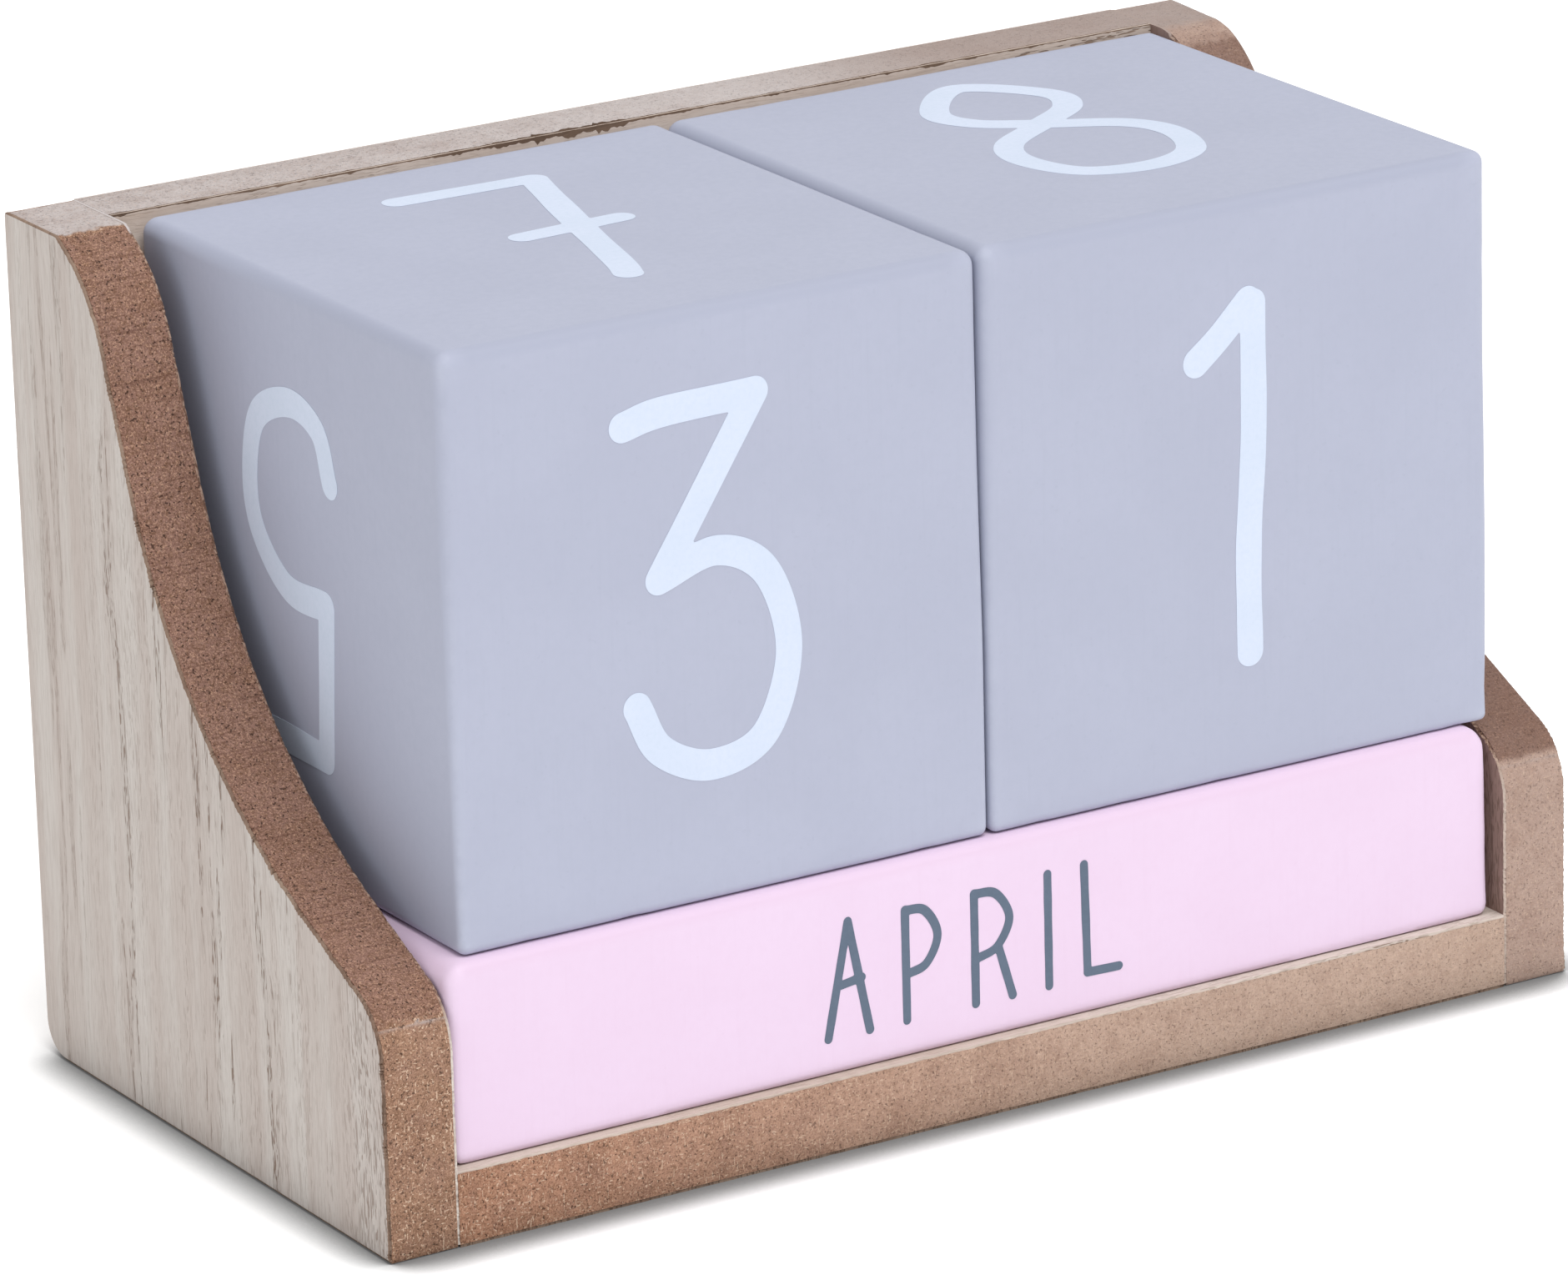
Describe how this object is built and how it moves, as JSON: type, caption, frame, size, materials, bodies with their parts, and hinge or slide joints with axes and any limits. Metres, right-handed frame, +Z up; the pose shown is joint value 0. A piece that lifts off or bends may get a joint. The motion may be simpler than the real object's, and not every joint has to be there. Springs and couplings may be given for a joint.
{
  "type": "perpetual block calendar",
  "caption": "Wooden perpetual desk calendar: loose number cubes stand on loose month bars in an open-fronted holder with swept sides.",
  "frame": {"origin": "middle of the footprint, on the underside of the base", "axes": "+X along the month bars from the tens cube to the ones cube, +Y from the open front to the back board, +Z up"},
  "size_m": [0.1156, 0.059, 0.0738],
  "materials": {
    "fibreboard": "sanded bare edge",
    "veneer": "bare, open grain",
    "cube_paint": "satin grey paint on wood",
    "bar_paint": "satin pale pink paint on wood",
    "numeral_paint": "thin pale printed paint",
    "lettering_ink": "thin slate printed ink"
  },
  "bodies": {
    "holder": {"left_side_core": "fibreboard", "left_side_outer_veneer": "veneer", "left_side_inner_veneer": "veneer", "right_side_core": "fibreboard", "right_side_inner_veneer": "veneer", "right_side_outer_veneer": "veneer", "back_core": "fibreboard", "back_front_veneer": "veneer", "back_rear_veneer": "veneer", "base_core": "fibreboard", "base_top_veneer": "veneer", "base_bottom_veneer": "veneer"},
    "month_bar_rear": {"month_bar_rear": "bar_paint"},
    "month_bar_middle": {"month_bar_middle": "bar_paint"},
    "month_bar_front": {"month_bar_front": "bar_paint"},
    "tens_cube": {"tens_cube": "cube_paint"},
    "ones_cube": {"ones_cube": "cube_paint"}
  },
  "joints": [
    {"name": "rear_bar_slide", "type": "slide", "parent": "holder", "child": "month_bar_rear", "axis": [0, -1, 0], "range_m": [0, 0.0543]},
    {"name": "middle_bar_slide", "type": "slide", "parent": "month_bar_rear", "child": "month_bar_middle", "axis": [0, -1, 0], "range_m": [0, 0.0371]},
    {"name": "front_bar_slide", "type": "slide", "parent": "month_bar_middle", "child": "month_bar_front", "axis": [0, -1, 0], "range_m": [0, 0.0199]},
    {"name": "tens_cube_lift", "type": "slide", "parent": "holder", "child": "tens_cube", "axis": [0, 0, 1], "range_m": [0, 0.055]},
    {"name": "ones_cube_lift", "type": "slide", "parent": "holder", "child": "ones_cube", "axis": [0, 0, 1], "range_m": [0, 0.055]}
  ]
}
